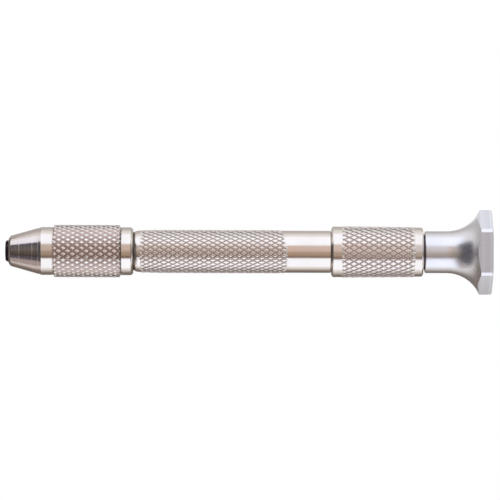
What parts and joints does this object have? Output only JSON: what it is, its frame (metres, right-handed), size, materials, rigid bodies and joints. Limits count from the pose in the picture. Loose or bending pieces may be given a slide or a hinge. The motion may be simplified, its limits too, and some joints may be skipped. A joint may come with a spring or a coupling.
{
  "type": "pin vise",
  "caption": "Slim pin vise: knurled chuck nut closing a split collet, hollow knurled handle, screw-off tail cap and a free-turning palm head with a flatted rim.",
  "frame": {"origin": "on the axis at the mouth of the collet's jaws", "axes": "+X along the axis, from the jaws towards the palm head; +Z square to a flat of the head, up when the vise lies on the opposite flat"},
  "size_m": [0.1079, 0.0188, 0.0168],
  "materials": {
    "nickel_plate": "satin nickel plate over turned and knurled steel",
    "hardened_steel": "hardened and oil-blackened",
    "turned_steel": "bright turned",
    "spring_steel": "ground bright",
    "bronze": "turned bearing bronze",
    "brass": "stamped brass",
    "satin_aluminium": "satin, as turned and milled"
  },
  "bodies": {
    "handle": {"handle_barrel": "nickel_plate", "chuck_spindle": "turned_steel"},
    "collet": {"collet": "hardened_steel"},
    "chuck_nut": {"chuck_nut": "nickel_plate"},
    "jaw_1": {"collet_jaw_1": "hardened_steel"},
    "jaw_2": {"collet_jaw_2": "hardened_steel"},
    "jaw_3": {"collet_jaw_3": "hardened_steel"},
    "jaw_4": {"collet_jaw_4": "hardened_steel"},
    "spare_collet": {"spare_collet": "hardened_steel"},
    "tail_cap": {"tail_cap": "nickel_plate", "swivel_bush": "bronze", "bearing_washer": "brass", "wave_washer": "spring_steel"},
    "swivel_head": {"swivel_head": "satin_aluminium", "swivel_screw": "turned_steel", "thrust_washer": "spring_steel"}
  },
  "joints": [
    {"name": "nut_turn", "type": "hinge", "parent": "handle", "child": "collet", "pos_m": [0, 0, 0], "axis": [-1, 0, 0], "range_deg": [0, 720]},
    {"name": "nut_travel", "type": "slide", "parent": "collet", "child": "chuck_nut", "axis": [-1, 0, 0], "range_m": [0, 0.0016]},
    {"name": "jaw_1_open", "type": "hinge", "parent": "collet", "child": "jaw_1", "pos_m": [0.011, 0.00245, 0], "axis": [0, 0, -1], "range_deg": [0, 2.3]},
    {"name": "jaw_2_open", "type": "hinge", "parent": "collet", "child": "jaw_2", "pos_m": [0.011, 0, 0.00245], "axis": [0, 1, 0], "range_deg": [0, 2.3]},
    {"name": "jaw_3_open", "type": "hinge", "parent": "collet", "child": "jaw_3", "pos_m": [0.011, -0.00245, 0], "axis": [0, 0, 1], "range_deg": [0, 2.3]},
    {"name": "jaw_4_open", "type": "hinge", "parent": "collet", "child": "jaw_4", "pos_m": [0.011, 0, -0.00245], "axis": [0, -1, 0], "range_deg": [0, 2.3]},
    {"name": "cap_travel", "type": "slide", "parent": "handle", "child": "spare_collet", "axis": [1, 0, 0], "range_m": [0, 0.0068]},
    {"name": "cap_turn", "type": "hinge", "parent": "spare_collet", "child": "tail_cap", "pos_m": [0.0823, 0, 0], "axis": [1, 0, 0], "range_deg": [0, 3060]},
    {"name": "head_swivel", "type": "hinge", "parent": "tail_cap", "child": "swivel_head", "pos_m": [0.0904, 0, 0], "axis": [1, 0, 0], "continuous": true}
  ],
  "couplings": [
    {"joint": "nut_turn", "follows": "nut_travel", "rad_per_m": 7854},
    {"joint": "jaw_1_open", "follows": "nut_travel", "rad_per_m": 25.089},
    {"joint": "jaw_2_open", "follows": "nut_travel", "rad_per_m": 25.089},
    {"joint": "jaw_3_open", "follows": "nut_travel", "rad_per_m": 25.089},
    {"joint": "jaw_4_open", "follows": "nut_travel", "rad_per_m": 25.089},
    {"joint": "cap_turn", "follows": "cap_travel", "rad_per_m": 7854}
  ]
}
